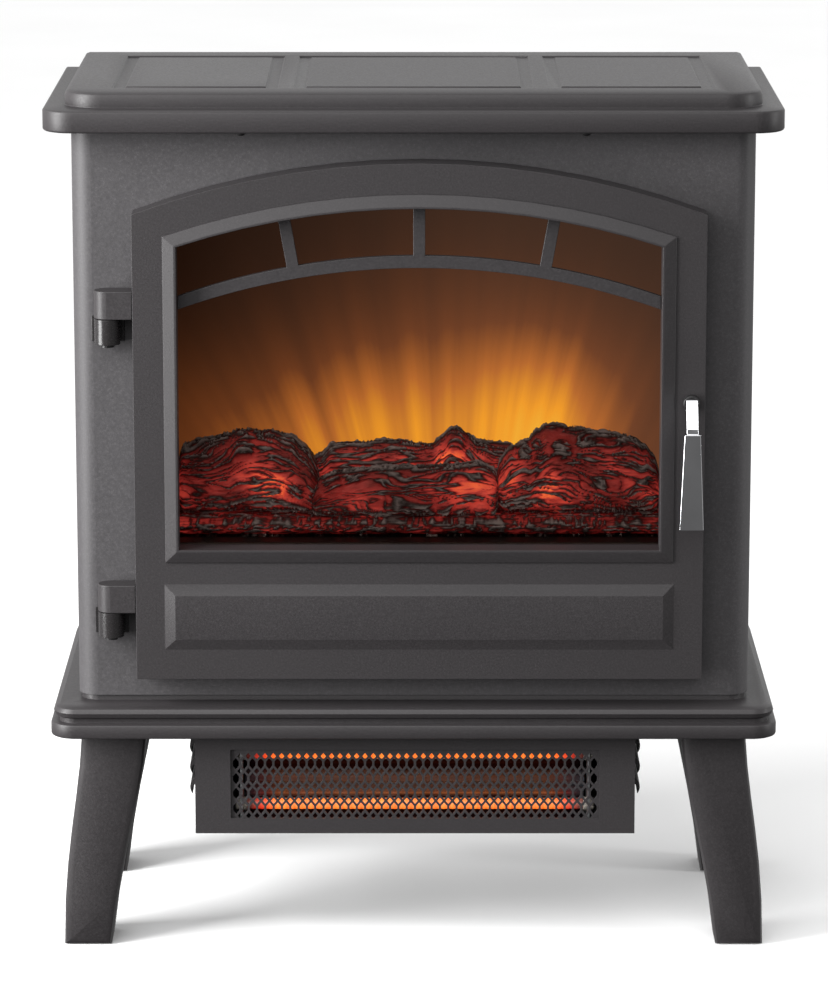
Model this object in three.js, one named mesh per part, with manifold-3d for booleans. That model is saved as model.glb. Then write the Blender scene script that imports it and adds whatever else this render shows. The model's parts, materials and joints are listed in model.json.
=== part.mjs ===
// Free-standing electric stove heater, in millimetres.
// +Z is up and the front faces -Y. The origin is on the floor, at the middle of the area
// that the stove covers.
import * as THREE from 'three';
import { mergeVertices } from 'three/addons/utils/BufferGeometryUtils.js';
import { ParametricGeometry } from 'three/addons/geometries/ParametricGeometry.js';
import Module from 'manifold-3d';

const wasm = await Module();
wasm.setup();

// ---------------------------------------------------------------- driving dimensions

const GAP = 0.3; // clearance between pieces that touch
const FACE_Y = -113; // front edge of both plates, and the door's face
const BACK_Y = 139; // back edge of both plates

const TOP = {
  top: 607.6, ledge: 597, bottom: 581.9, // heights
  half: 254, corner: 22, back: 135, // the rim
  tierHalf: 240.2, tierFront: -96.5, tierCorner: 27, tierBevel: 4,
  skin: 2.6, grooveDepth: 1.3, grooveWidth: 8.6,
};
const TOP_PANELS = [
  { from: -198.5, to: -102 },
  { from: -74, to: 74 },
  { from: 102, to: 198.5 },
];
const TOP_PANEL_FRONT = -61;
const TOP_PANEL_BACK = 103;
const SCREW_XS = [-118, 118]; // screws up through the rim's front edge
const SCREW_Y = -101;

const BASE = {
  top: 177.5, grooveTop: 168.8, grooveBottom: 165.6, bottom: 155.4,
  half: 254.6, corner: 18, inset: 2, skin: 2.5,
  plinthTop: 187, plinthWall: 10,
};

const BODY = {
  half: 235.7, front: -89, back: 134, corner: 14, bottom: 181.2, top: 604.5, sheet: 1.6,
};
const BUSHING = { x: 190, z: 206, radius: 8 };

// The door and everything in it share one centre line and one centre of curvature.
const ARCH_X = 3.9;
const ARCH_Z = -4;
const DOOR = { half: 196.9, bottom: 199, radius: 565.5, back: -90, sheet: 2 };
const WINDOW = { half: 166.5, bottom: 292, radius: 534.8, frame: 9.5, sleeve: 3, crest: 4 };
const FRET = { outer: 500.6, inner: 491.9, bar: 8.2, angle: 10, front: -104.5, back: -99.5 };
const GLASS = { overlap: 5, front: -95.7, back: -92.7 };
const LOWER_PANEL = { half: 176.9, bottom: 220.4, top: 266.9, bevel: 7.6, height: 3 };

const HINGE = {
  x: -211, y: -101, radius: 9, pin: 3, sleeve: 19.6, knuckle: 17.8,
  seams: [452.7, 245.5], // height of the joint between sleeve and knuckle
};
const BARREL_FRONT = HINGE.y - HINGE.radius;
const HANDLE = { x: 191, z: 396, front: -139, topWidth: 11, bottomWidth: 16.6 };
const GRIP_TOP = 378;
const GRIP_BOTTOM = 311;
const NUT_RADIUS = 5.9;
const CATCH = { x: 190, z: 450, half: 5, halfHeight: 20 };

const LEG = { front: -97, depth: 42, wall: 4, foot: 5, edge: 5, top: 174.6 };

const HEATER = { half: 155, front: -95, back: 75, bottom: 82, sheet: 1.6, x: 1 };
const OUTLET = { half: 130, bottom: 93, top: 143 };
const TUBE = { y: -77, radius: 5, upper: 134.6, lower: 97.6, half: 126 };
const TROUGH = { upper: 132.6, lower: 101.2, depth: 24, half: 16.2, sheet: 1, mouth: -88 };
const BLOWER = { y: -2, z: 118, radius: 25, from: -95, to: 55, vanes: 10 };
const LOUVRES = { centres: [143, 128, 113], tall: 6.2, deep: 4.4, front: -84, back: 50 };

const LINER = { half: 182, front: -86.7, back: 16, floor: 291, top: 552, sheet: 1.2 };
const SCREEN = { front: 11, back: 14 };
const EMBER_LIGHTS = [-116, -68, -20, 28, 76, 124];
const FLAME_LIGHTS = [-124, -92, -60, -28, 4, 36, 68, 100, 132];
const BED_TOP = 303;
const LOGS = {
  log_left: { x0: -168, x1: -66, y: -36, z: 332, ry: 26, rz: 28.4, phase: 1 },
  log_right: { x0: 58, x1: 177, y: -36, z: 334.6, ry: 27, rz: 31, phase: 0.4 },
  log_front: { x0: -65, x1: 56, y: -52, z: 319.5, ry: 15, rz: 16, phase: 2 },
  log_back: { x0: -65, x1: 56, y: -14, z: 330.5, ry: 20, rz: 27, phase: 0 },
};
const ROTOR = { y: 55, z: 330, radius: 20, shaft: 2.5, half: 152, stations: 6 };

const PANEL = { x: ARCH_X, z: 241, half: 134, halfHeight: 31, front: -92, back: -89.3 };
const PORT = { half: 130, halfHeight: 27 }; // hole in the body behind the control panel
const BUTTON_NAMES = ['power', 'flame', 'timer', 'temperature_down', 'temperature_up'];
const BUTTON_OFFSETS = [-98, -64, 52, 80, 108];
const BUTTON = { radius: 6, flange: 7.5, front: -95.5, stemEnd: -84.5 };
const DISPLAY = { half: 26, halfHeight: 12 };

// ---------------------------------------------------------------- materials

function finish(color, roughness, metalness, extra = {}) {
  return new THREE.MeshStandardMaterial({ color, roughness, metalness, ...extra });
}
const CHARCOAL = finish(0x454446, 0.55, 0.35);
const DARK_STEEL = finish(0x2b2a2b, 0.6, 0.4);
const GALVANISED = finish(0x8e9194, 0.45, 0.9);
const CHROME = finish(0xd9dadc, 0.08, 1);
const POLISHED = finish(0xcfd0d2, 0.15, 1);
const BLACK_PLASTIC = finish(0x161616, 0.5, 0);
const RESIN_LOG = finish(0x3a2622, 0.85, 0, { emissive: 0x5a1206 });
const SMOKED = finish(0x3d2418, 0.1, 0, { transparent: true, opacity: 0.3 });
const SCREEN_AMBER = finish(0xa8641c, 0.4, 0, { emissive: 0x8a4a10 });
const QUARTZ_GLOW = finish(0xff7a2a, 0.3, 0, { emissive: 0xff5a10 });
const CERAMIC = finish(0xd8d2c4, 0.8, 0);
const BOARD_GREEN = finish(0x1d5a38, 0.6, 0.1);

// ---------------------------------------------------------------- solids and booleans

function solid(geometry) {
  const bare = geometry.index ? geometry.toNonIndexed() : geometry.clone();
  bare.deleteAttribute('normal');
  bare.deleteAttribute('uv');
  const merged = mergeVertices(bare, 1e-4);
  const mesh = new wasm.Mesh({
    numProp: 3,
    vertProperties: new Float32Array(merged.attributes.position.array),
    triVerts: new Uint32Array(merged.index.array),
  });
  return new wasm.Manifold(mesh);
}

function geometryOf(shape) {
  const mesh = shape.getMesh();
  const geometry = new THREE.BufferGeometry();
  geometry.setAttribute('position', new THREE.BufferAttribute(mesh.vertProperties, 3));
  geometry.setIndex(new THREE.BufferAttribute(mesh.triVerts, 1));
  geometry.computeVertexNormals();
  return geometry;
}

const join = (...shapes) => shapes.reduce((a, b) => a.add(b));
const cut = (shape, ...tools) => tools.reduce((a, b) => a.subtract(b), shape);

// Axis permutation that lays a shape's x and y along Y and Z, and its depth along X.
const ALONG_X = new THREE.Matrix4().makeBasis(
  new THREE.Vector3(0, 1, 0),
  new THREE.Vector3(0, 0, 1),
  new THREE.Vector3(1, 0, 0),
);

function box(x0, x1, y0, y1, z0, z1) {
  const geometry = new THREE.BoxGeometry(x1 - x0, y1 - y0, z1 - z0);
  geometry.translate((x0 + x1) / 2, (y0 + y1) / 2, (z0 + z1) / 2);
  return solid(geometry);
}

function extrusion(shape, depth, bevel, curveSegments = 6) {
  return new THREE.ExtrudeGeometry(shape, {
    depth: depth - 2 * bevel,
    curveSegments,
    bevelEnabled: bevel > 0,
    bevelThickness: bevel,
    bevelSize: bevel,
    bevelOffset: -bevel,
    bevelSegments: 2,
  }).translate(0, 0, bevel);
}

// A plan outline in x and y, from height z0 to z1.
function upright(shape, z0, z1, bevel = 0) {
  return solid(extrusion(shape, z1 - z0, bevel).translate(0, 0, z0));
}

// A front outline in x and z, from depth y0 to y1.
function facing(shape, y0, y1, bevel = 0) {
  const geometry = extrusion(shape, y1 - y0, bevel);
  geometry.rotateX(Math.PI / 2);
  return solid(geometry.translate(0, y1, 0));
}

// A side outline in y and z, from x0 to x1.
function sideways(shape, x0, x1, curveSegments = 6) {
  const geometry = extrusion(shape, x1 - x0, 0, curveSegments);
  return solid(geometry.applyMatrix4(ALONG_X).translate(x0, 0, 0));
}

function rodX(radius, x0, x1, y, z, sides = 16) {
  const geometry = new THREE.CylinderGeometry(radius, radius, x1 - x0, sides);
  geometry.rotateZ(-Math.PI / 2);
  return solid(geometry.translate((x0 + x1) / 2, y, z));
}

function rodY(radius, y0, y1, x, z, sides = 16) {
  const geometry = new THREE.CylinderGeometry(radius, radius, y1 - y0, sides);
  return solid(geometry.translate(x, (y0 + y1) / 2, z));
}

function rodZ(radius, z0, z1, x, y, sides = 16) {
  const geometry = new THREE.CylinderGeometry(radius, radius, z1 - z0, sides);
  geometry.rotateX(Math.PI / 2);
  return solid(geometry.translate(x, y, (z0 + z1) / 2));
}

function polygon(points) {
  return new THREE.Shape(points.map(([x, y]) => new THREE.Vector2(x, y)));
}

function rectangle(x0, x1, y0, y1) {
  return polygon([[x0, y0], [x1, y0], [x1, y1], [x0, y1]]);
}

// Plan of a plate or wrap whose two front corners are rounded.
function plan(half, front, back, corner) {
  const shape = new THREE.Shape();
  shape.moveTo(-half, back);
  shape.lineTo(-half, front + corner);
  shape.absarc(-half + corner, front + corner, corner, Math.PI, 1.5 * Math.PI);
  shape.absarc(half - corner, front + corner, corner, 1.5 * Math.PI, 2 * Math.PI);
  shape.lineTo(half, back);
  return shape;
}

// Arched outline in x and z. A positive offset makes it larger all round.
function archPoints(arch, offset = 0, steps = 14) {
  const half = arch.half + offset;
  const radius = arch.radius + offset;
  const bottom = arch.bottom - offset;
  const reach = Math.asin(half / radius);
  const points = [[ARCH_X - half, bottom], [ARCH_X + half, bottom]];
  for (let i = 0; i <= steps; i += 1) {
    const angle = reach - (2 * reach * i) / steps;
    points.push([ARCH_X + radius * Math.sin(angle), ARCH_Z + radius * Math.cos(angle)]);
  }
  return points;
}

const archShape = (arch, offset) => polygon(archPoints(arch, offset));

// ---------------------------------------------------------------- cabinet

function topPlate() {
  const rim = upright(plan(TOP.half, FACE_Y, TOP.back, TOP.corner), TOP.bottom, TOP.ledge, 1.5);
  const tierBottom = TOP.ledge - 2 * TOP.tierBevel;
  const tierPlan = plan(TOP.tierHalf, TOP.tierFront, BACK_Y, TOP.tierCorner);
  const tier = upright(tierPlan, tierBottom, TOP.top, TOP.tierBevel);
  const pocketPlan = plan(
    BODY.half + GAP, BODY.front - GAP, BODY.back + GAP, BODY.corner + GAP,
  );
  const pocket = upright(pocketPlan, TOP.bottom - 5, TOP.top - TOP.skin);
  const grooves = TOP_PANELS.map(({ from, to }) => {
    const w = TOP.grooveWidth;
    const ring = rectangle(from - w, to + w, TOP_PANEL_FRONT - w, TOP_PANEL_BACK + w);
    ring.holes.push(rectangle(from, to, TOP_PANEL_FRONT, TOP_PANEL_BACK));
    return upright(ring, TOP.top - TOP.grooveDepth, TOP.top + 1);
  });
  const holes = SCREW_XS.map((x) => rodZ(2.3, TOP.bottom - 1, TOP.bottom + 10, x, SCREW_Y, 12));
  return cut(join(rim, tier), pocket, ...grooves, ...holes);
}

function topScrew(x) {
  const profile = new THREE.Shape();
  profile.moveTo(0, 0);
  profile.absarc(0, 2.9, 3.6, -0.94, 0);
  profile.lineTo(2, 2.9);
  profile.lineTo(2, 12);
  profile.lineTo(0, 12);
  const points = profile.getPoints(4).filter((p) => p.x >= 0);
  points[0].x = 0;
  const geometry = new THREE.LatheGeometry(points, 12).rotateX(Math.PI / 2);
  return solid(geometry.translate(x, SCREW_Y, TOP.bottom - GAP - 2.9));
}

function basePlate() {
  const { half, corner, inset } = BASE;
  const rim = upright(plan(half, FACE_Y, BACK_Y, corner), BASE.bottom, BASE.grooveBottom, 1.5);
  const neck = upright(
    plan(half - 6, FACE_Y + 6, BACK_Y - 6, corner - 6), BASE.grooveBottom - 1, BASE.grooveTop + 1,
  );
  const tier = upright(
    plan(half - inset, FACE_Y + inset, BACK_Y - 1, corner - inset), BASE.grooveTop, BASE.top, 4.6,
  );
  const plinthPlan = plan(
    BODY.half - BODY.sheet - GAP, BODY.front + BODY.sheet + GAP, BODY.back - 1,
    BODY.corner - BODY.sheet,
  );
  const plinthHalf = BODY.half - BODY.sheet - GAP - BASE.plinthWall;
  const plinthFront = BODY.front + BODY.sheet + GAP + BASE.plinthWall;
  plinthPlan.holes.push(
    rectangle(-plinthHalf, plinthHalf, plinthFront, BODY.back - 1 - BASE.plinthWall),
  );
  const plinth = upright(plinthPlan, BASE.top - 1, BASE.plinthTop);
  const hollowPlan = plan(half - 9, FACE_Y + 9, BACK_Y - 9, corner - 9);
  const hollow = upright(hollowPlan, BASE.bottom - 5, BASE.top - BASE.skin);
  const wiringHole = box(-30, 30, 90, 118, BASE.top - 5, BASE.top + 5);
  return cut(join(rim, neck, tier, plinth), hollow, wiringHole);
}

function bodyShell() {
  const { half, front, back, corner, bottom, top, sheet } = BODY;
  const outer = upright(plan(half, front, back, corner), bottom, top);
  const inner = upright(
    plan(half - sheet, front + sheet, back + 10, corner - sheet), bottom - 5, top + 5,
  );
  const opening = { half: 178, bottom: LINER.floor, radius: 549 };
  const fireOpening = facing(archShape(opening), front - 5, front + 10);
  const panelPort = box(
    PANEL.x - PORT.half, PANEL.x + PORT.half, front - 5, front + 10,
    PANEL.z - PORT.halfHeight, PANEL.z + PORT.halfHeight,
  );
  return cut(outer, inner, fireOpening, panelPort);
}

function rearCover() {
  const sheet = box(-235, 235, BODY.back + GAP, BODY.back + 1.5, BODY.bottom, TOP.bottom - 1);
  const slots = [];
  for (const x of [-150, 90]) {
    for (let row = 0; row < 7; row += 1) {
      const z = 420 + 16 * row;
      slots.push(box(x, x + 60, BODY.back - 5, BODY.back + 10, z, z + 5));
    }
  }
  const hole = rodY(BUSHING.radius + 0.4, BODY.back - 5, BODY.back + 9, BUSHING.x, BUSHING.z);
  return cut(sheet, ...slots, hole);
}

function cordBushing() {
  const { x, z, radius } = BUSHING;
  const flange = rodY(radius + 3, BODY.back + 1.8, BACK_Y, x, z);
  const neck = rodY(radius, BODY.back - 4, BODY.back + 3, x, z);
  return cut(join(flange, neck), rodY(4.2, BODY.back - 10, BACK_Y + 5, x, z));
}

// One leg seen from the front: both edges are gentle S-curves that sweep outwards.
function legOutline(inset, foot) {
  const shape = new THREE.Shape();
  shape.moveTo(233.4 - inset, LEG.top);
  shape.lineTo(233.4 - inset, 155);
  shape.bezierCurveTo(236 - inset, 105, 247.6 - inset, 70, 247.7 - inset, foot);
  shape.lineTo(214.3 + inset, foot);
  shape.bezierCurveTo(208 + inset, 60, 191 + inset, 110, 188.3 + inset, 155);
  shape.lineTo(188.3 + inset, LEG.top);
  return shape;
}

// A hollow casting, open at the top and on the face that looks at the stove's middle.
function leg() {
  const skin = facing(legOutline(0, 0), LEG.front, LEG.front + LEG.depth, LEG.edge);
  const hollow = facing(
    legOutline(LEG.wall, LEG.foot), LEG.front + LEG.wall, LEG.front + LEG.depth + 5,
  );
  return cut(skin, hollow, box(150, 260, -200, 200, LEG.top - LEG.edge, LEG.top + 5));
}

// ---------------------------------------------------------------- door

// A closed strip of the given section, swept round an arched outline.
// Each section point is [offset from the outline, y].
function archRing(arch, section) {
  const rings = section.map(([offset, y]) => archPoints(arch, offset).map(([x, z]) => [x, y, z]));
  const around = rings[0].length;
  const across = rings.length;
  const surface = (u, v, target) => {
    const point = rings[Math.round(u * across) % across][Math.round(v * around) % around];
    target.set(...point);
  };
  return solid(new ParametricGeometry(surface, across, around));
}

// A raised field with bevelled edges, seen from the front.
function raisedField(half, bottom, top, bevel, height) {
  const middle = (bottom + top) / 2;
  const width = 2 * half;
  const tall = top - bottom;
  const geometry = new THREE.CylinderGeometry(0.5, 0.5, height, 4, 1, false, Math.PI / 4);
  geometry.scale(Math.SQRT2, 1, Math.SQRT2);
  const position = geometry.attributes.position;
  for (let i = 0; i < position.count; i += 1) {
    const trim = position.getY(i) < 0 ? 2 * bevel : 0;
    position.setX(i, position.getX(i) * (width - trim));
    position.setZ(i, position.getZ(i) * (tall - trim));
  }
  return solid(geometry.translate(ARCH_X, FACE_Y - height / 2, middle));
}

function doorPanel() {
  const tray = facing(archShape(DOOR), FACE_Y, DOOR.back);
  const hollow = facing(archShape(DOOR, -DOOR.sheet), FACE_Y + DOOR.sheet, DOOR.back + 5);
  const window = facing(archShape(WINDOW, WINDOW.sleeve + GAP), FACE_Y - 5, DOOR.back + 5);
  const { half, bottom, top, bevel, height } = LOWER_PANEL;
  const field = raisedField(half, bottom, top, bevel, height);
  const spindleHole = rodY(3.6, FACE_Y - 5, FACE_Y + 5, HANDLE.x, HANDLE.z);
  return cut(join(tray, field), hollow, window, spindleHole);
}

function windowFrame() {
  const flangeBack = FACE_Y - GAP;
  return archRing(WINDOW, [
    [0, FRET.front + 7],
    [0, FACE_Y - WINDOW.crest],
    [1.5, FACE_Y - WINDOW.crest],
    [WINDOW.frame, flangeBack - 0.8],
    [WINDOW.frame, flangeBack],
    [WINDOW.sleeve, flangeBack],
    [WINDOW.sleeve, FRET.front + 7],
  ]);
}

function windowFretwork() {
  const { outer, inner, bar, angle, front, back } = FRET;
  const curve = new THREE.Shape();
  curve.absarc(ARCH_X, ARCH_Z, outer, 0.25 * Math.PI, 0.75 * Math.PI);
  curve.absarc(ARCH_X, ARCH_Z, inner, 0.75 * Math.PI, 0.25 * Math.PI, true);
  const arc = solid(
    extrusion(curve, back - front, 0, 48).rotateX(Math.PI / 2).translate(0, back, 0),
  );
  const bars = [-angle, 0, angle].map((degrees) => {
    const geometry = new THREE.BoxGeometry(bar, back - front, 60);
    geometry.translate(0, (front + back) / 2, inner + 5 + 30);
    geometry.rotateY(THREE.MathUtils.degToRad(degrees));
    return solid(geometry.translate(ARCH_X, 0, ARCH_Z));
  });
  const reach = facing(archShape(WINDOW, -GAP), front - 5, back + 5);
  return join(arc, ...bars).intersect(reach);
}

function doorGlass() {
  return facing(archShape(WINDOW, GLASS.overlap), GLASS.front, GLASS.back);
}

// Clamping strip behind the glass, down one side of the window.
function glassRetainer(side) {
  const centre = ARCH_X + side * (WINDOW.half + GLASS.overlap + 3);
  const z0 = WINDOW.bottom + 10;
  const z1 = WINDOW.bottom + 190;
  const strip = box(centre - 6, centre + 6, GLASS.back + GAP, GLASS.back + 1.5, z0, z1);
  const foot = side > 0 ? [centre + 2, centre + 6] : [centre - 6, centre - 2];
  const web = box(foot[0], foot[1], FACE_Y + DOOR.sheet + GAP, GLASS.back + 1, z0, z1);
  return join(strip, web);
}

function hingeSleeve(seam) {
  const z0 = seam;
  const z1 = seam + HINGE.sleeve;
  const barrel = rodZ(HINGE.radius, z0, z1, HINGE.x, HINGE.y, 24);
  const edge = ARCH_X - DOOR.half - GAP;
  const arm = box(HINGE.x, edge, BARREL_FRONT, HINGE.y + HINGE.radius, z0, z1);
  const bore = rodZ(HINGE.pin + GAP, z0 - 5, z1 - 4, HINGE.x, HINGE.y);
  return cut(join(barrel, arm), bore);
}

function hingeKnuckle(seam) {
  const z1 = seam - GAP;
  const z0 = z1 - HINGE.knuckle;
  const barrel = rodZ(HINGE.radius, z0, z1, HINGE.x, HINGE.y, 24);
  const web = box(HINGE.x - 6, HINGE.x + 6, HINGE.y, BODY.front - GAP, z0, z1);
  const leaf = box(HINGE.x - 11.5, HINGE.x + 11.5, BODY.front - 2, BODY.front - GAP, z0, z1);
  const bore = rodZ(HINGE.pin + GAP, z0 - 5, z1 + 5, HINGE.x, HINGE.y);
  return cut(join(barrel, web, leaf), bore);
}

function hingePin(seam) {
  const bottom = seam - GAP - HINGE.knuckle;
  const shank = rodZ(HINGE.pin, bottom - 2.2, seam + 14, HINGE.x, HINGE.y);
  const head = rodZ(HINGE.pin + 1.6, bottom - 2.2, bottom - GAP, HINGE.x, HINGE.y);
  return join(shank, head);
}

function handleEscutcheon() {
  const dome = rodY(5.6, FACE_Y - 7, FACE_Y - GAP, HANDLE.x, HANDLE.z, 24);
  return cut(dome, rodY(3.4, FACE_Y - 20, FACE_Y + 5, HANDLE.x, HANDLE.z));
}

// Spindle, cranked neck and flared flat grip, in one casting.
function handleLever() {
  const { x, z, front } = HANDLE;
  const spindle = rodY(3, FACE_Y - 12, FACE_Y + 14, x, z);
  const neck = sideways(
    polygon([
      [FACE_Y - 7.3, z + 4], [FACE_Y - 7.3, z - 4], [front + 8, GRIP_TOP - 6],
      [front, GRIP_TOP - 6], [front + 1, GRIP_TOP + 4], [FACE_Y - 14, z + 4],
    ]),
    x - 4, x + 4,
  );
  const top = HANDLE.topWidth / 2;
  const bottom = HANDLE.bottomWidth / 2;
  const grip = facing(
    polygon([
      [x - bottom, GRIP_BOTTOM], [x + bottom, GRIP_BOTTOM], [x + top, GRIP_TOP], [x - top, GRIP_TOP],
    ]),
    front, front + 7, 0,
  );
  return join(spindle, neck, grip);
}

function handleNut() {
  const nut = rodY(NUT_RADIUS, FACE_Y + DOOR.sheet + GAP, FACE_Y + 8, HANDLE.x, HANDLE.z, 6);
  return cut(nut, rodY(3 + GAP, FACE_Y, FACE_Y + 10, HANDLE.x, HANDLE.z));
}

function magnetCatch() {
  const { x, z, half, halfHeight } = CATCH;
  const y1 = BODY.front - GAP;
  const block = box(x - half, x + half, y1 - 13, y1, z - halfHeight, z + halfHeight);
  const foot = box(x - half, x + half, y1 - 2, y1, z - halfHeight - 8, z + halfHeight + 8);
  return join(block, foot);
}

function strikerPlate() {
  const { x, z, half, halfHeight } = CATCH;
  const front = FACE_Y + DOOR.sheet + GAP;
  const back = BODY.front - GAP - 13 - 0.6;
  return box(x - half, x + half, front, back, z - halfHeight + 2, z + halfHeight - 2);
}

// ---------------------------------------------------------------- fire picture

function fireboxLiner() {
  const { half, front, back, floor, top, sheet } = LINER;
  const x0 = ARCH_X - half;
  const x1 = ARCH_X + half;
  const outer = box(x0, x1, front, back, floor - sheet, top);
  const inner = box(x0 + sheet, x1 - sheet, front - 5, back + 5, floor, top - sheet);
  const lightSlots = EMBER_LIGHTS.map((x) => (
    box(x - 16, x + 16, -48, -32, floor - 5, floor + 5)
  ));
  return cut(outer, inner, ...lightSlots);
}

function flameScreen() {
  const reach = LINER.half - LINER.sheet - GAP;
  const z1 = LINER.top - LINER.sheet - GAP;
  const x0 = ARCH_X - reach;
  const x1 = ARCH_X + reach;
  return box(x0, x1, SCREEN.front, SCREEN.back, LINER.floor + GAP, z1);
}

// The bed of embers that the logs lie on: a low mound along the whole firebox.
function emberBed() {
  const z0 = LINER.floor + GAP;
  const section = polygon([
    [-71, z0], [8, z0], [8, BED_TOP], [-46, BED_TOP], [-60, BED_TOP - 3], [-71, z0 + 4],
  ]);
  return sideways(section, ARCH_X - 174, ARCH_X + 174);
}

// A knobbly log lying along X, with gentle swellings along its length.
function logSolid({ x0, x1, y, z, ry, rz, phase }) {
  const length = x1 - x0;
  const geometry = new THREE.CapsuleGeometry(1, 4, 3, 10, 4);
  geometry.rotateZ(-Math.PI / 2);
  const position = geometry.attributes.position;
  for (let i = 0; i < position.count; i += 1) {
    const along = (position.getX(i) / 3) * (length / 2);
    const swell = 0.94 + 0.06 * Math.sin(along * 0.09 + phase);
    position.setX(i, along);
    position.setY(i, position.getY(i) * ry * swell);
    position.setZ(i, position.getZ(i) * rz * swell);
  }
  return solid(geometry.translate((x0 + x1) / 2, y, z));
}

function rotorBracket() {
  const { y, z, shaft, half } = ROTOR;
  const floor = box(ARCH_X - half - 9, ARCH_X + half + 9, y - 16, y + 16, z - 30, z - 28);
  const ears = [-1, 1].map((side) => {
    const x = ARCH_X + side * (half + 8);
    return box(x - 1, x + 1, y - 12, y + 12, z - 29, z + 14);
  });
  const bore = rodX(shaft + GAP, -200, 200, y, z);
  return cut(join(floor, ...ears), bore);
}

// Spindle with reflective blades crossed in pairs, each pair turned on from the last.
function flameRotor() {
  const { y, z, radius, shaft, half, stations } = ROTOR;
  const spindle = rodX(shaft, ARCH_X - half - 18, ARCH_X + half + 12, y, z);
  const blades = [];
  const pitch = (2 * half - 20) / stations;
  for (let station = 0; station < stations; station += 1) {
    for (let turn = 0; turn < 2; turn += 1) {
      const geometry = new THREE.BoxGeometry(pitch - 8, 1, 2 * radius);
      geometry.rotateX(turn * (Math.PI / 2) + station * (Math.PI / 6));
      geometry.translate(ARCH_X - half + 10 + pitch * (station + 0.5), y, z);
      blades.push(solid(geometry));
    }
  }
  return join(spindle, ...blades);
}

function flameMotor() {
  const { y, z, half, shaft } = ROTOR;
  const x1 = ARCH_X - half - 9.3;
  const can = rodX(17, x1 - 18, x1, y, z, 24);
  const gearbox = box(x1 - 10, x1, y - 12, y + 12, z - 22, z + 10);
  return cut(join(can, gearbox), rodX(shaft + GAP, x1 - 12, x1 + 5, y, z));
}

function ledBoard(lights, boardBox, lightBoxAt) {
  return join(box(...boardBox), ...lights.map((x) => box(...lightBoxAt(x))));
}

function flameLedBoard() {
  const y = ROTOR.y + 36;
  const { z } = ROTOR;
  const board = [ARCH_X - 150, ARCH_X + 150, y, y + 1.6, z - 14, z + 14];
  return ledBoard(FLAME_LIGHTS, board, (x) => [x - 2.5, x + 2.5, y - 2, y + 0.5, z - 2.5, z + 2.5]);
}

function emberLedBoard() {
  const z = LINER.floor - LINER.sheet - 7;
  const board = [ARCH_X - 146, ARCH_X + 146, -52, -28, z, z + 1.6];
  return ledBoard(EMBER_LIGHTS, board, (x) => [x - 2.5, x + 2.5, -42.5, -37.5, z + 1, z + 4]);
}

// ---------------------------------------------------------------- heater under the base

// Half-round hood over a slot in the side wall, open along its lower edge.
function louvreHood(z, scale) {
  const shape = new THREE.Shape();
  shape.absellipse(z, 0, LOUVRES.tall * scale, LOUVRES.deep * scale, 0, Math.PI);
  const geometry = extrusion(shape, LOUVRES.back - LOUVRES.front, 0, 6);
  geometry.applyMatrix4(new THREE.Matrix4().makeBasis(
    new THREE.Vector3(0, 0, 1), new THREE.Vector3(1, 0, 0), new THREE.Vector3(0, 1, 0),
  ));
  return geometry.translate(0, LOUVRES.front, 0);
}

function louvreSet(side) {
  const { half, x } = HEATER;
  const hoods = [];
  const hollows = [];
  for (const z of LOUVRES.centres) {
    const hood = louvreHood(z, 1);
    const hollow = louvreHood(z, 0.72).translate(0, 0, -2.4);
    for (const piece of [hood, hollow]) {
      if (side < 0) piece.rotateZ(Math.PI).translate(0, LOUVRES.front + LOUVRES.back, 0);
      piece.translate(x + side * (half - 0.4), 0, 0);
    }
    hoods.push(solid(hood));
    hollows.push(solid(hollow));
    const slotX = x + side * (half - 1);
    hollows.push(box(slotX - 2, slotX + 2, LOUVRES.front + 3, LOUVRES.back - 3, z - 3, z + 1));
  }
  return { hoods, hollows };
}

function heaterHousing() {
  const { half, front, back, bottom, sheet, x } = HEATER;
  const top = BASE.top - BASE.skin - GAP;
  const outer = box(x - half, x + half, front, back, bottom, top);
  const inner = box(
    x - half + sheet, x + half - sheet, front + sheet, back - sheet, bottom + sheet, top + 5,
  );
  const outlet = box(
    x - OUTLET.half, x + OUTLET.half, front - 5, front + 5, OUTLET.bottom, OUTLET.top,
  );
  const intakes = [];
  for (let i = 0; i < 12; i += 1) {
    const slotX = x - 110 + 20 * i;
    intakes.push(box(slotX - 3, slotX + 3, back - 5, back + 5, 100, 145));
  }
  const left = louvreSet(-1);
  const right = louvreSet(1);
  return cut(
    join(outer, ...left.hoods, ...right.hoods),
    inner, outlet, ...intakes, ...left.hollows, ...right.hollows,
  );
}

// Pressed guard over the outlet. Its openings are pointed top and bottom.
function heaterGrille() {
  const { front, sheet, x } = HEATER;
  const y0 = front + sheet + GAP;
  const plate = box(
    x - OUTLET.half - 3, x + OUTLET.half + 3, y0, y0 + 0.8, OUTLET.bottom - 3, OUTLET.top + 3,
  );
  const columns = 18;
  const pitch = (2 * OUTLET.half - 4) / columns;
  const openings = [];
  for (const z of [105.5, 130.5]) {
    for (let i = 0; i < columns; i += 1) {
      const cx = x - OUTLET.half + 2 + pitch * (i + 0.5);
      const reach = pitch / 2 - 1;
      const hole = polygon([
        [cx, z - 11], [cx + reach, z - 6], [cx + reach, z + 6],
        [cx, z + 11], [cx - reach, z + 6], [cx - reach, z - 6],
      ]);
      openings.push(facing(hole, y0 - 2, y0 + 3));
    }
  }
  return cut(plate, ...openings);
}

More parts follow.
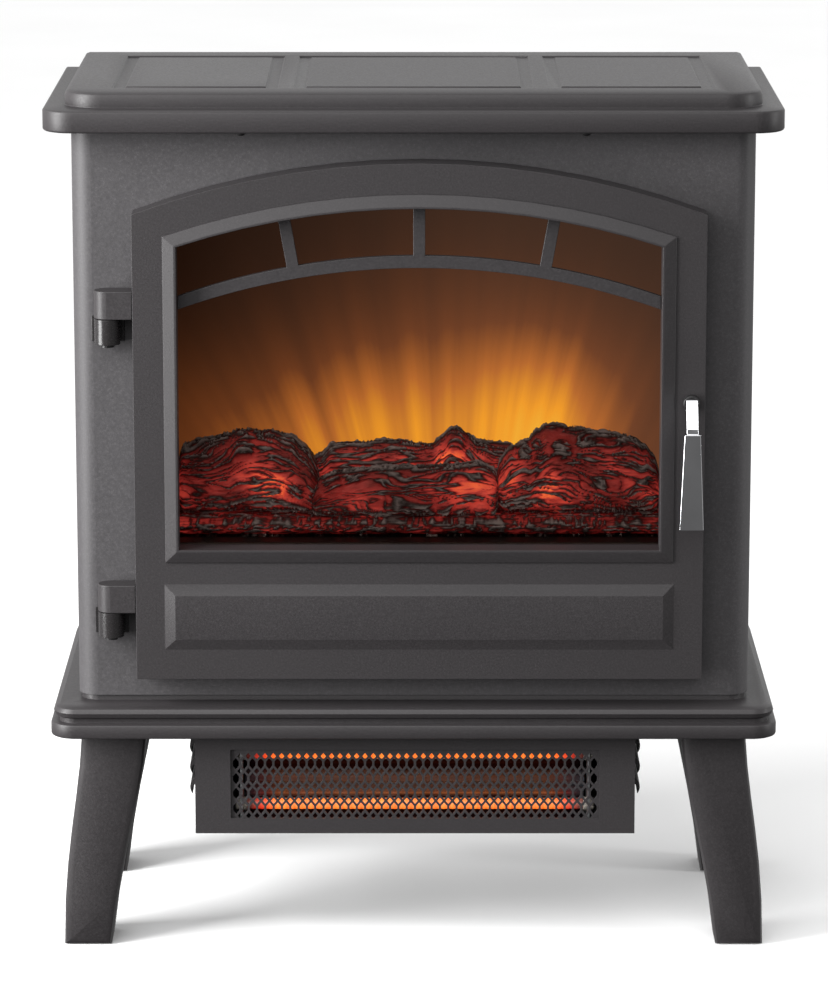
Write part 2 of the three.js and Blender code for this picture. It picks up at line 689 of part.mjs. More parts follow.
// Polished sheet bent into two troughs, one behind each tube.
function heaterReflector() {
  const { upper, lower, depth, half, sheet, mouth } = TROUGH;
  const trough = (z, grow, x0, x1) => {
    const shape = new THREE.Shape();
    shape.absellipse(mouth, z, depth + grow, half + grow, -Math.PI / 2, Math.PI / 2);
    return sideways(shape, x0, x1, 10);
  };
  const x0 = HEATER.x - 120;
  const x1 = HEATER.x + 120;
  const skin = join(trough(upper, sheet, x0, x1), trough(lower, sheet, x0, x1));
  return cut(skin, trough(upper, 0, x0 - 5, x1 + 5), trough(lower, 0, x0 - 5, x1 + 5));
}

function heaterTube(z) {
  const { y, radius, half } = TUBE;
  const glass = rodX(radius, HEATER.x - half + 4, HEATER.x + half - 4, y, z, 14);
  const caps = [-1, 1].map((side) => {
    const x = HEATER.x + side * (half - 5);
    return rodX(radius + 1.2, x - 6, x + 6, y, z, 14);
  });
  return join(glass, ...caps);
}

function tubeHolder(side) {
  const x = HEATER.x + side * (TUBE.half - 3.5);
  const plate = box(x - 0.8, x + 0.8, -90.5, -62, 85, 150);
  const holes = [TUBE.upper, TUBE.lower].map((z) => (
    rodX(TUBE.radius + 1.4 + GAP, x - 5, x + 5, TUBE.y, z, 14)
  ));
  return cut(plate, ...holes);
}

function blowerWheel() {
  const { y, z, radius, from, to } = BLOWER;
  const shaft = rodX(3, from - 8, to + 30, y, z, 12);
  const discs = [from, to - 2].map((x) => rodX(radius, x, x + 2, y, z, 20));
  const vanes = [];
  for (let i = 0; i < BLOWER.vanes; i += 1) {
    const geometry = new THREE.BoxGeometry(to - from, 1.2, 8);
    geometry.rotateX(0.6).translate((from + to) / 2, 0, radius - 4.5);
    geometry.rotateX((2 * Math.PI * i) / BLOWER.vanes);
    vanes.push(solid(geometry.translate(0, y, z)));
  }
  return join(shaft, ...discs, ...vanes);
}

// Scroll round the wheel with a bearing plate at each end, open towards the tubes.
function blowerHousing() {
  const { y, z, radius, from, to } = BLOWER;
  const inner = radius + 3.4;
  const outer = inner + 1.2;
  const scroll = new THREE.Shape();
  scroll.absarc(y, z, outer, -0.72 * Math.PI, 0.72 * Math.PI);
  scroll.absarc(y, z, inner, 0.72 * Math.PI, -0.72 * Math.PI, true);
  const wrap = sideways(scroll, from - 5, to + 5, 16);
  const ends = [from - 5, to + 3.6].map((x) => rodX(outer - 0.1, x, x + 1.4, y, z, 20));
  return cut(join(wrap, ...ends), rodX(3 + GAP, from - 10, to + 10, y, z));
}

function blowerMotor() {
  const { y, z, to } = BLOWER;
  const can = rodX(22, to + 8, to + 44, y, z, 24);
  const nose = rodX(8, to + 5.5, to + 10, y, z, 16);
  return cut(join(can, nose), rodX(3 + GAP, to, to + 32, y, z));
}

function thermalCutout() {
  const y = TROUGH.mouth + TROUGH.depth + TROUGH.sheet + GAP;
  const can = rodY(7, y, y + 9, -40, TROUGH.upper);
  const flange = box(-52, -28, y, y + 1.5, TROUGH.upper - 4, TROUGH.upper + 4);
  return join(can, flange);
}

// ---------------------------------------------------------------- controls

const buttonXs = BUTTON_OFFSETS.map((offset) => PANEL.x + offset);

function controlPanel() {
  const { x, z, half, halfHeight, front, back } = PANEL;
  const plate = box(x - half, x + half, front, back, z - halfHeight, z + halfHeight);
  const buttonHoles = buttonXs.map((bx) => (
    rodY(BUTTON.radius + 0.4, front - 5, back + 5, bx, z, 16)
  ));
  const view = box(
    x - DISPLAY.half - GAP, x + DISPLAY.half + GAP, front - 5, back + 5,
    z - DISPLAY.halfHeight - GAP, z + DISPLAY.halfHeight + GAP,
  );
  return cut(plate, ...buttonHoles, view);
}

function displayWindow() {
  const { x, z, front } = PANEL;
  const { half, halfHeight } = DISPLAY;
  return box(x - half, x + half, front - 0.6, front + 1.8, z - halfHeight, z + halfHeight);
}

function button(x) {
  const { radius, flange, front, stemEnd } = BUTTON;
  const behind = PANEL.back + GAP;
  const cap = rodY(radius, front, behind + 1.5, x, PANEL.z, 16);
  const lip = rodY(flange, behind, behind + 1.5, x, PANEL.z, 16);
  const stem = rodY(2, behind + 1, stemEnd, x, PANEL.z, 8);
  return join(cap, lip, stem);
}

function controlBoard() {
  const { x, z } = PANEL;
  const board = box(x - 122, x + 122, -78, -76.4, z - 25, z + 25);
  const switches = buttonXs.map((bx) => box(bx - 3, bx + 3, -82.6, -77.5, z - 3, z + 3));
  const digits = box(x - 24, x + 24, -86.5, -77.5, z - 10, z + 10);
  return join(board, digits, ...switches);
}

function powerBoard() {
  const board = box(40, 150, 30, 110, 196, 197.6);
  const posts = [[46, 36], [144, 36], [46, 104], [144, 104]].map(([x, y]) => (
    rodZ(2.5, BASE.top + GAP, 196.5, x, y, 10)
  ));
  const transformer = box(52, 84, 44, 72, 197, 222);
  const relays = [100, 118].map((x) => box(x - 7, x + 7, 46, 66, 197, 212));
  const capacitor = rodZ(8, 197, 220, 70, 90, 14);
  return join(board, ...posts, transformer, ...relays, capacitor);
}

// ---------------------------------------------------------------- assembly

const stove = new THREE.Group();

function place(name, shape, material) {
  const mesh = new THREE.Mesh(geometryOf(shape), material);
  mesh.name = name;
  stove.add(mesh);
  return mesh;
}

place('top_plate', topPlate(), CHARCOAL);
place('top_screw_left', topScrew(SCREW_XS[0]), DARK_STEEL);
place('top_screw_right', topScrew(SCREW_XS[1]), DARK_STEEL);
place('body_shell', bodyShell(), CHARCOAL);
place('rear_cover', rearCover(), DARK_STEEL);
place('cord_bushing', cordBushing(), BLACK_PLASTIC);
place('base_plate', basePlate(), CHARCOAL);

const MIDDLE_Y = (FACE_Y + BACK_Y) / 2;
for (const [end, sideY] of [['front', 1], ['rear', -1]]) {
  for (const [hand, sideX] of [['right', 1], ['left', -1]]) {
    const mesh = place(`leg_${end}_${hand}`, leg(), CHARCOAL);
    mesh.scale.set(sideX, sideY, 1);
    mesh.position.y = sideY < 0 ? 2 * MIDDLE_Y : 0;
  }
}

place('door_panel', doorPanel(), CHARCOAL);
place('window_frame', windowFrame(), CHARCOAL);
place('window_fretwork', windowFretwork(), CHARCOAL);
place('door_glass', doorGlass(), SMOKED);
place('glass_retainer_left', glassRetainer(-1), DARK_STEEL);
place('glass_retainer_right', glassRetainer(1), DARK_STEEL);
for (const [level, seam] of [['upper', HINGE.seams[0]], ['lower', HINGE.seams[1]]]) {
  place(`hinge_sleeve_${level}`, hingeSleeve(seam), CHARCOAL);
  place(`hinge_knuckle_${level}`, hingeKnuckle(seam), CHARCOAL);
  place(`hinge_pin_${level}`, hingePin(seam), DARK_STEEL);
}
place('handle_escutcheon', handleEscutcheon(), DARK_STEEL);
place('handle_lever', handleLever(), CHROME);
place('handle_nut', handleNut(), GALVANISED);
place('striker_plate', strikerPlate(), GALVANISED);
place('magnet_catch', magnetCatch(), BLACK_PLASTIC);

place('firebox_liner', fireboxLiner(), DARK_STEEL);
place('flame_screen', flameScreen(), SCREEN_AMBER);
place('ember_bed', emberBed(), RESIN_LOG);
for (const [name, log] of Object.entries(LOGS)) place(name, logSolid(log), RESIN_LOG);
place('rotor_bracket', rotorBracket(), GALVANISED);
place('flame_rotor', flameRotor(), POLISHED);
place('flame_motor', flameMotor(), GALVANISED);
place('flame_led_board', flameLedBoard(), BOARD_GREEN);
place('ember_led_board', emberLedBoard(), BOARD_GREEN);

place('heater_housing', heaterHousing(), CHARCOAL);
place('heater_grille', heaterGrille(), DARK_STEEL);
place('heater_reflector', heaterReflector(), POLISHED);
place('heater_tube_upper', heaterTube(TUBE.upper), QUARTZ_GLOW);
place('heater_tube_lower', heaterTube(TUBE.lower), QUARTZ_GLOW);
place('tube_holder_left', tubeHolder(-1), GALVANISED);
place('tube_holder_right', tubeHolder(1), GALVANISED);
place('blower_housing', blowerHousing(), GALVANISED);
place('blower_wheel', blowerWheel(), DARK_STEEL);
place('blower_motor', blowerMotor(), GALVANISED);
place('thermal_cutout', thermalCutout(), CERAMIC);

place('control_panel', controlPanel(), BLACK_PLASTIC);
place('display_window', displayWindow(), SMOKED);
place('control_board', controlBoard(), BOARD_GREEN);
place('power_board', powerBoard(), BOARD_GREEN);
BUTTON_NAMES.forEach((name, i) => place(`button_${name}`, button(buttonXs[i]), BLACK_PLASTIC));

export default stove;
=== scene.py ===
import json
import math

import bmesh
import bpy
from mathutils import Matrix, Vector, noise


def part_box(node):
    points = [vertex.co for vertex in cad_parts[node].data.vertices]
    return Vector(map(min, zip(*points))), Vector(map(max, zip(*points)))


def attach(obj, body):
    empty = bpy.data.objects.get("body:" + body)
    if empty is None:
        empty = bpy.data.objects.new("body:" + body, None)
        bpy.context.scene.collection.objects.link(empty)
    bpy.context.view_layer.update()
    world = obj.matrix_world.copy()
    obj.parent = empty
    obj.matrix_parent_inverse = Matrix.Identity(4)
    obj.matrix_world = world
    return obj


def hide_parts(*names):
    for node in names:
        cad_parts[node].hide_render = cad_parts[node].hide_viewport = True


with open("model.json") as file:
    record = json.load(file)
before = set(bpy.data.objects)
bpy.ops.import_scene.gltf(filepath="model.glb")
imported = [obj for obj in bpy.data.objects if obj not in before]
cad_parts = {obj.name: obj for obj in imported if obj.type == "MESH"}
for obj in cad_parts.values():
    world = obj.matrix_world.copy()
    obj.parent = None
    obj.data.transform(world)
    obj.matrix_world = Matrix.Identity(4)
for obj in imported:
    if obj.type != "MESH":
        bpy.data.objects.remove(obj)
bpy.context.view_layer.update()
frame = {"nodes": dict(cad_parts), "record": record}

MM = 0.001  # everything below is in metres; MM turns millimetres into them
FLOOR_DROP = 0.2 * MM  # the floor lies this far under the feet

# The camera: 3.3 m in front, not rolled, looking down a little through a long lens.
EYE = Vector((0.0003, -3.303, 1.0249))
PITCH_DOWN = 0.2155
LENS = 169.8


# ---------------------------------------------------------------- node trees

class Nodes:
    """A material's node tree, with short calls for what the materials below repeat."""

    def __init__(self, name):
        self.material = bpy.data.materials.new(name)
        self.material.use_nodes = True
        self.tree = self.material.node_tree
        self.shader = self.tree.nodes["Principled BSDF"]
        self.place = self.tree.nodes.new("ShaderNodeTexCoord").outputs["Object"]

    def put(self, value, socket):
        if isinstance(value, bpy.types.NodeSocket):
            self.tree.links.new(value, socket)
        else:
            socket.default_value = value

    def set(self, **values):
        for name, value in values.items():
            self.put(value, self.shader.inputs[name.replace("_", " ")])

    def math(self, operation, first, second=0.0, clamp=False):
        node = self.tree.nodes.new("ShaderNodeMath")
        node.operation = operation
        node.use_clamp = clamp
        self.put(first, node.inputs[0])
        self.put(second, node.inputs[1])
        return node.outputs[0]

    def axes(self):
        node = self.tree.nodes.new("ShaderNodeSeparateXYZ")
        self.put(self.place, node.inputs[0])
        return node.outputs

    def vector(self, x, y, z):
        node = self.tree.nodes.new("ShaderNodeCombineXYZ")
        for value, socket in zip((x, y, z), node.inputs):
            self.put(value, socket)
        return node.outputs[0]

    def stretched(self, x, y, z):
        node = self.tree.nodes.new("ShaderNodeMapping")
        self.put(self.place, node.inputs["Vector"])
        node.inputs["Scale"].default_value = (x, y, z)
        return node.outputs[0]

    def noise(self, scale, detail=2.0, roughness=0.5, vector=None):
        node = self.tree.nodes.new("ShaderNodeTexNoise")
        self.put(vector or self.place, node.inputs["Vector"])
        self.put(scale, node.inputs["Scale"])
        self.put(detail, node.inputs["Detail"])
        self.put(roughness, node.inputs["Roughness"])
        return node.outputs["Fac"]

    def attribute(self, name):
        node = self.tree.nodes.new("ShaderNodeAttribute")
        node.attribute_name = name
        return node.outputs["Fac"]

    def spread(self, value, low, high, to_low=0.0, to_high=1.0):
        node = self.tree.nodes.new("ShaderNodeMapRange")
        node.clamp = True
        for given, socket in zip((value, low, high, to_low, to_high), node.inputs):
            self.put(given, socket)
        return node.outputs[0]

    def ramp(self, value, *stops):
        node = self.tree.nodes.new("ShaderNodeValToRGB")
        self.put(value, node.inputs[0])
        elements = node.color_ramp.elements
        while len(elements) < len(stops):
            elements.new(0.5)
        for element, (position, colour) in zip(elements, stops):
            element.position = position
            element.color = (*colour, 1.0)
        return node.outputs[0]

    def mix(self, share, first, second, mode="MIX"):
        node = self.tree.nodes.new("ShaderNodeMix")
        node.data_type = "RGBA"
        node.blend_type = mode
        colours = [s for s in node.inputs if s.type == "RGBA"]
        self.put(share, node.inputs[0])
        self.put(first if isinstance(first, bpy.types.NodeSocket) else (*first, 1.0), colours[0])
        self.put(second if isinstance(second, bpy.types.NodeSocket) else (*second, 1.0), colours[1])
        return next(s for s in node.outputs if s.type == "RGBA")

    def bump(self, height, strength, distance):
        node = self.tree.nodes.new("ShaderNodeBump")
        node.inputs["Strength"].default_value = strength
        node.inputs["Distance"].default_value = distance
        self.put(height, node.inputs["Height"])
        self.put(node.outputs[0], self.shader.inputs["Normal"])


def tinted(colour, factor):
    return tuple(min(1.0, channel * factor) for channel in colour)


# ---------------------------------------------------------------- materials

def powder_coat(name, colour, grain=1.3 * MM, roughness=0.46):
    """Fine textured powder coat on sheet steel: orange-peel grain and faint broad variation."""
    n = Nodes(name)
    grains = n.noise(1 / grain, 3.0, 0.6)
    speckle = n.noise(3.2 / grain, 1.0)
    broad = n.noise(7.0, 2.0)
    tone = n.ramp(
        n.math("ADD", n.math("MULTIPLY", grains, 0.6), n.math("MULTIPLY", speckle, 0.4)),
        (0.3, tinted(colour, 0.72)), (0.55, colour), (0.75, tinted(colour, 1.5)),
    )
    shade = n.ramp(broad, (0.3, (0.9, 0.9, 0.9)), (0.7, (1.0, 1.0, 1.0)))
    n.set(
        Base_Color=n.mix(1.0, tone, shade, "MULTIPLY"),
        Roughness=n.spread(grains, 0.25, 0.75, roughness - 0.07, roughness + 0.08),
        Metallic=0.0,
        Specular_IOR_Level=0.36,
    )
    n.bump(grains, 0.35, 0.12 * MM)
    return n.material


def plain_metal(name, colour, roughness, streak=(4.0, 300.0, 300.0), depth=0.02 * MM):
    """Sheet or turned metal with fine rolling marks and a cloudy gloss."""
    n = Nodes(name)
    marks = n.noise(1.0, 3.0, 0.6, n.stretched(*streak))
    clouds = n.noise(30.0, 3.0)
    n.set(
        Base_Color=n.ramp(clouds, (0.3, tinted(colour, 0.88)), (0.7, colour)),
        Roughness=n.spread(marks, 0.3, 0.7, roughness * 0.8, roughness * 1.3),
        Metallic=1.0,
    )
    n.bump(marks, 0.15, depth)
    return n.material


def moulded_plastic(name, colour, roughness=0.45):
    n = Nodes(name)
    grain = n.noise(1500.0, 2.0)
    n.set(
        Base_Color=n.ramp(n.noise(40.0), (0.3, tinted(colour, 0.8)), (0.7, tinted(colour, 1.15))),
        Roughness=n.spread(grain, 0.3, 0.7, roughness - 0.06, roughness + 0.08),
    )
    n.bump(grain, 0.2, 0.05 * MM)
    return n.material


def circuit_board(name):
    """Green lacquer over copper tracks."""
    n = Nodes(name)
    node = n.tree.nodes.new("ShaderNodeTexBrick")
    n.put(n.place, node.inputs["Vector"])
    node.inputs["Scale"].default_value = 90.0
    node.inputs["Mortar Size"].default_value = 0.05
    node.inputs["Color1"].default_value = (0.010, 0.085, 0.030, 1)
    node.inputs["Color2"].default_value = (0.012, 0.100, 0.036, 1)
    node.inputs["Mortar"].default_value = (0.030, 0.200, 0.070, 1)
    n.set(Base_Color=node.outputs["Color"], Roughness=n.spread(n.noise(300.0), 0.3, 0.7, 0.3, 0.5))
    return n.material


def fired_ceramic(name, colour):
    n = Nodes(name)
    pores = n.noise(900.0, 3.0)
    n.set(
        Base_Color=n.ramp(pores, (0.3, tinted(colour, 0.7)), (0.6, colour)),
        Roughness=n.spread(pores, 0.3, 0.7, 0.6, 0.85),
    )
    n.bump(pores, 0.3, 0.1 * MM)
    return n.material


def smoked_glass(name):
    """A brown-tinted pane: it shows the fire through its tint and mirrors a little at its face."""
    n = Nodes(name)
    n.set(
        Base_Color=n.ramp(n.noise(12.0), (0.3, (0.010, 0.008, 0.007)), (0.7, (0.014, 0.011, 0.010))),
        Roughness=0.04,
        IOR=1.45,
    )
    clear = n.tree.nodes.new("ShaderNodeBsdfTransparent")
    clear.inputs[0].default_value = (0.86, 0.80, 0.76, 1)
    facing = n.tree.nodes.new("ShaderNodeFresnel")
    facing.inputs["IOR"].default_value = 1.25
    mix = n.tree.nodes.new("ShaderNodeMixShader")
    n.put(facing.outputs[0], mix.inputs[0])
    n.put(clear.outputs[0], mix.inputs[1])
    n.put(n.shader.outputs[0], mix.inputs[2])
    n.put(mix.outputs[0], n.tree.nodes["Material Output"].inputs["Surface"])
    return n.material


def flame_glow(name):
    """The frosted sheet behind the logs, lit from behind with tongues of flame.

    Rays fan out of a point far under the logs. Two bright hearths stand in three wide dim ones."""
    n = Nodes(name)
    place = n.axes()
    x, z = place[0], place[2]
    root_x, root_z = 28 * MM, 70 * MM
    from_root = n.math("SUBTRACT", x, root_x)
    above_root = n.math("SUBTRACT", z, root_z)
    angle = n.math("ARCTAN2", from_root, above_root)
    broad_rays = n.noise(15.0, 1.0, 0.5, n.vector(angle, 0.7, 0.0))
    fine_rays = n.noise(52.0, 2.0, 0.5, n.vector(angle, 0.2, n.math("MULTIPLY", z, 0.12)))
    rays = n.math(
        "ADD",
        n.spread(broad_rays, 0.3, 0.7, 0.74, 1.20),
        n.spread(fine_rays, 0.3, 0.7, -0.06, 0.06),
    )

    def hearth(cx, cz, reach_x, reach_z, power):
        dx = n.math("DIVIDE", n.math("SUBTRACT", x, cx), reach_x)
        dz = n.math("DIVIDE", n.math("SUBTRACT", z, cz), reach_z)
        square = n.math("ADD", n.math("MULTIPLY", dx, dx), n.math("MULTIPLY", dz, dz))
        return n.math("MULTIPLY", n.math("POWER", math.e, n.math("MULTIPLY", square, -1.0)), power)

    hot = n.math(
        "ADD",
        hearth(-24 * MM, 340 * MM, 66 * MM, 56 * MM, 0.42),
        hearth(82 * MM, 345 * MM, 42 * MM, 62 * MM, 0.60),
    )
    middle = n.math(
        "ADD",
        hearth(150 * MM, 345 * MM, 55 * MM, 60 * MM, 0.13),
        hearth(36 * MM, 350 * MM, 112 * MM, 96 * MM, 0.34),
    )
    wide = n.math("ADD", middle, hearth(-125 * MM, 335 * MM, 84 * MM, 62 * MM, 0.19))
    flame = n.math("MULTIPLY", n.math("ADD", hot, wide), rays)
    side = n.spread(x, -165 * MM, 60 * MM)
    low = n.spread(z, 520 * MM, 330 * MM)
    dusk = n.mix(
        n.math("ADD", n.math("MULTIPLY", side, 0.86), n.math("MULTIPLY", low, 0.14)),
        (0.013, 0.0055, 0.0030), (0.058, 0.036, 0.026),
    )
    fire = n.ramp(
        flame,
        (0.0, (0.0, 0.0, 0.0)), (0.22, (0.13, 0.036, 0.006)), (0.48, (0.50, 0.16, 0.018)),
        (0.78, (0.98, 0.42, 0.010)), (1.0, (1.0, 0.58, 0.035)),
    )
    n.set(
        # painted glow: the sheet's own colour is painted lighter where the flames glow
        Base_Color=n.mix(flame, (0.008, 0.005, 0.004), (0.03, 0.015, 0.01)),
        Roughness=n.spread(n.noise(500.0), 0.3, 0.7, 0.6, 0.75),
        Specular_IOR_Level=0.1,
        Emission_Color=n.mix(1.0, dusk, fire, "ADD"),
        Emission_Strength=1.15,
    )
    return n.material


def glowing_bark(name, glow):
    """Painted resin: black bark with ash-grey crests over red resin, lit from inside.

    Each piece carries "crest", how high a point stands, and "glow_share", how hot it is."""
    n = Nodes(name)
    crest = n.attribute("crest")
    heat = n.attribute("glow_share")
    grit = n.noise(260.0, 4.0, 0.65, n.stretched(0.35, 1.0, 1.0))
    patch = n.noise(34.0, 2.0)
    height = n.math("ADD", crest, n.spread(grit, 0.3, 0.7, -0.16, 0.16))
    bark = n.ramp(
        height,
        (0.0, (0.200, 0.050, 0.050)), (0.28, (0.150, 0.042, 0.042)), (0.38, (0.008, 0.006, 0.007)),
        (0.52, (0.050, 0.050, 0.054)), (0.80, (0.340, 0.340, 0.370)),
    )
    lit = n.math("MULTIPLY", n.spread(height, 0.50, 0.10), n.spread(patch, 0.30, 0.66, 0.20, 1.0))
    warmth = n.math("MULTIPLY", lit, heat, clamp=True)
    n.set(
        Base_Color=bark,
        Roughness=n.spread(grit, 0.3, 0.7, 0.42, 0.66),
        Specular_IOR_Level=0.3,
        Emission_Color=n.ramp(
            warmth, (0.0, (0.0, 0.0, 0.0)), (0.15, (0.060, 0.003, 0.003)),
            (0.4, (0.20, 0.018, 0.016)), (0.7, (0.50, 0.050, 0.034)), (1.0, (0.95, 0.17, 0.05)),
        ),
        Emission_Strength=glow,
    )
    n.bump(height, 0.9, 1.4 * MM)
    return n.material


def hot_quartz(name):
    """Milky quartz sleeve: it glows orange where the coil heats it."""
    n = Nodes(name)
    x = n.axes()[0]
    middle = 1 * MM
    away = n.math("ABSOLUTE", n.math("SUBTRACT", x, middle))
    heat = n.spread(away, 116 * MM, 98 * MM)
    bands = n.spread(n.noise(1.0, 1.0, 0.5, n.stretched(420.0, 1.0, 1.0)), 0.35, 0.65, 0.8, 1.0)
    warmth = n.math("MULTIPLY", heat, bands)
    n.set(
        # painted glow: the sleeve's own colour is painted brighter and warmer where it glows
        Base_Color=n.mix(heat, (0.35, 0.16, 0.13), (0.9, 0.35, 0.15)),
        Roughness=n.spread(bands, 0.7, 1.0, 0.12, 0.25),
        Emission_Color=n.ramp(
            warmth, (0.0, (0.03, 0.0, 0.0)), (0.4, (0.60, 0.012, 0.0)),
            (0.8, (1.0, 0.12, 0.004)), (1.0, (1.0, 0.24, 0.02)),
        ),
        Emission_Strength=1.15,
        Coat_Weight=0.6,
    )
    return n.material


def reflector_with_painted_reflection(name):
    """Polished sheet with its look painted by height: a bright band along the ridge is a painted
    highlight, the two troughs beside it are painted shade.
    """
    n = Nodes(name)
    ridge = 111.5 * MM
    z = n.axes()[2]
    away = n.math("ABSOLUTE", n.math("SUBTRACT", z, ridge))
    ragged = n.spread(n.noise(80.0), 0.3, 0.7, -0.6 * MM, 0.6 * MM)
    # painted highlight: the band along the ridge is bright, the rest is painted dark as shade
    painted_reflection_band = n.spread(n.math("ADD", away, ragged), 11 * MM, 7.5 * MM)
    marks = n.noise(1.0, 3.0, 0.6, n.stretched(4.0, 300.0, 300.0))
    n.set(
        # painted shade in the troughs, painted highlight on the band; the band's blue offsets the orange
        # lamp light
        Base_Color=n.mix(painted_reflection_band, (0.018, 0.012, 0.014), (0.40, 0.52, 0.60)),
        Roughness=n.spread(marks, 0.3, 0.7, 0.38, 0.52),
        Metallic=1.0,
    )
    return n.material


COAT = powder_coat("charcoal powder coat", (0.0292, 0.0264, 0.0278))
COAT_ROUGH = powder_coat("textured powder coat", (0.056, 0.053, 0.0555), 1.8 * MM, 0.55)
COAT_SMOOTH = powder_coat("satin black paint", (0.014, 0.0135, 0.014), 0.8 * MM, 0.40)
KNUCKLE_SATIN = powder_coat("satin knuckle paint", (0.020, 0.0185, 0.019), 0.8 * MM, 0.24)
MATERIALS = {
    "charcoal_coat": COAT,
    "dark_steel": COAT_SMOOTH,
    "galvanised": plain_metal("zinc sheet", (0.50, 0.51, 0.52), 0.38),
    "chrome": plain_metal("chrome", (0.82, 0.82, 0.84), 0.07, (60.0, 60.0, 60.0)),
    # its bright band and dark troughs are painted highlight and painted shade
    "polished_reflector": reflector_with_painted_reflection("polished aluminium"),
    "black_plastic": moulded_plastic("black plastic", (0.012, 0.012, 0.012)),
    "log_resin": glowing_bark("bark and embers", 1.2),
    "smoked_glass": smoked_glass("smoked glass"),
    "flame_screen": flame_glow("flame screen"),
    "quartz": hot_quartz("glowing quartz"),
    "ceramic": fired_ceramic("fired ceramic", (0.62, 0.57, 0.50)),
    "circuit_board": circuit_board("circuit board"),
}


def dress_cad_nodes():
    """Gives every CAD node the finish of its slot in the record."""
    for part in frame["record"]["subparts"]:
        node = frame["nodes"].get(part["node"])
        if node is None:
            continue
        node.data.materials.clear()
        node.data.materials.append(MATERIALS[part["material_slot"]])


# ---------------------------------------------------------------- pieces

def piece_from(mesh, name, body, slot, replaced=(), material=None):
    piece = bpy.data.objects.new(name, mesh)
    bpy.context.scene.collection.objects.link(piece)
    mesh.materials.clear()
    mesh.materials.append(material or MATERIALS[slot])
    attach(piece, body)
    if replaced:
        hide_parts(*replaced)
    return piece


def softened(piece, width, angle):
    """Rounds a piece's edges by a small radius and shades the rest smooth."""
    bevel = piece.modifiers.new("edges", "BEVEL")
    bevel.width = width
    bevel.segments = 2
    bevel.limit_method = "ANGLE"
    bevel.angle_limit = angle
    bevel.use_clamp_overlap = True
    bevel.harden_normals = True
    return piece


def finished(node, name, body, slot, width=0.5 * MM, angle=math.radians(32), material=None):
    """A CAD node's own shape with clean faces and rounded edges, in its place."""
    source = bmesh.new()
    source.from_mesh(frame["nodes"][node].data)
    bmesh.ops.remove_doubles(source, verts=source.verts, dist=0.002 * MM)
    bmesh.ops.dissolve_limit(
        source, angle_limit=math.radians(0.6), verts=source.verts, edges=source.edges,
    )
    mesh = bpy.data.meshes.new(name)
    source.to_mesh(mesh)
    source.free()
    mesh.shade_smooth()
    mesh.set_sharp_from_angle(angle=angle)
    return softened(piece_from(mesh, name, body, slot, [node], material), width, angle)


def mesh_from(name, points, faces, smooth=True):
    mesh = bpy.data.meshes.new(name)
    mesh.from_pydata(points, [], faces)
    mesh.update()
    if smooth:
        mesh.shade_smooth()
    return mesh


def interpolate(points, x):
    """Height of an outline at x, along straight stretches eased at each point."""
    for (x0, y0), (x1, y1) in zip(points, points[1:]):
        if x <= x1:
            t = max(0.0, min(1.0, (x - x0) / (x1 - x0)))
            return y0 + (y1 - y0) * t * t * (3 - 2 * t)
    return points[-1][1]


# ---------------------------------------------------------------- sheet-metal casework

CASEWORK = {
    # node: (piece name, edge radius)
    "top_plate": ("top_plate_pressing", 0.7 * MM),
    "base_plate": ("base_plate_pressing", 0.7 * MM),
    "body_shell": ("body_wrap", 0.5 * MM),
    "rear_cover": ("rear_cover_sheet", 0.3 * MM),
    "heater_housing": ("heater_housing_sheet", 0.6 * MM),
}
DOORWORK = {
    "door_panel": ("door_pressing", 0.6 * MM),
    "window_frame": ("window_moulding", 0.5 * MM),
    "window_fretwork": ("window_tracery", 0.5 * MM),
    "hinge_sleeve_upper": ("upper_hinge_sleeve_cast", 0.9 * MM),
    "hinge_sleeve_lower": ("lower_hinge_sleeve_cast", 0.9 * MM),
}
SHALLOW_EDGE = math.radians(16)  # on the door, edges that turn by more than this are rounded
LEG_NODES = ("leg_front_left", "leg_front_right", "leg_rear_left", "leg_rear_right")
KNUCKLE_NODES = ("hinge_knuckle_upper", "hinge_knuckle_lower")


def build_casework():
    for node, (name, radius) in CASEWORK.items():
        material = COAT_ROUGH if node == "body_shell" else COAT
        finished(node, name, "cabinet", "charcoal_coat", radius, material=material)
    for node, (name, radius) in DOORWORK.items():
        finished(node, name, "door", "charcoal_coat", radius, SHALLOW_EDGE)
    for node in LEG_NODES:
        finished(node, node + "_casting", "cabinet", "charcoal_coat", 1.1 * MM)
    for node in KNUCKLE_NODES:
        finished(node, node + "_cast", "cabinet", "charcoal_coat", 0.8 * MM, material=KNUCKLE_SATIN)


# ---------------------------------------------------------------- handle and small hardware

def build_handle():
    """A domed boss, a bright cranked neck and a flared flat grip."""
    finished("handle_lever", "handle_bar", "handle", "chrome", 1.2 * MM, math.radians(20))
    finished("handle_escutcheon", "handle_boss", "door", "dark_steel", 1.6 * MM)
    finished("handle_nut", "handle_hex_nut", "handle", "galvanised", 0.5 * MM)


